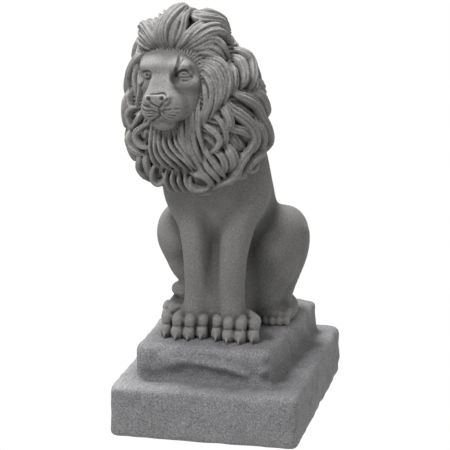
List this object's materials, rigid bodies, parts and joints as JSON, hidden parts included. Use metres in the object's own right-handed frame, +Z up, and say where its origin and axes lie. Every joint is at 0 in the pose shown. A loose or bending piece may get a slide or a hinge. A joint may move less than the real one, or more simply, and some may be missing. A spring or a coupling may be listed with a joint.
{
  "type": "lion statue",
  "caption": "Seated lion garden statue with a full wavy mane, on a rock and a slab moulded with it; it stands free on flat ground.",
  "frame": {"origin": "middle of the slab's underside, on the ground", "axes": "+Z up, the lion looks towards -Y, +X to the lion's left"},
  "size_m": [0.3383, 0.4349, 0.7103],
  "materials": {
    "granite": "matt, fine granite speckle"
  },
  "bodies": {
    "root": {"lion_statue": "granite"}
  },
  "joints": []
}
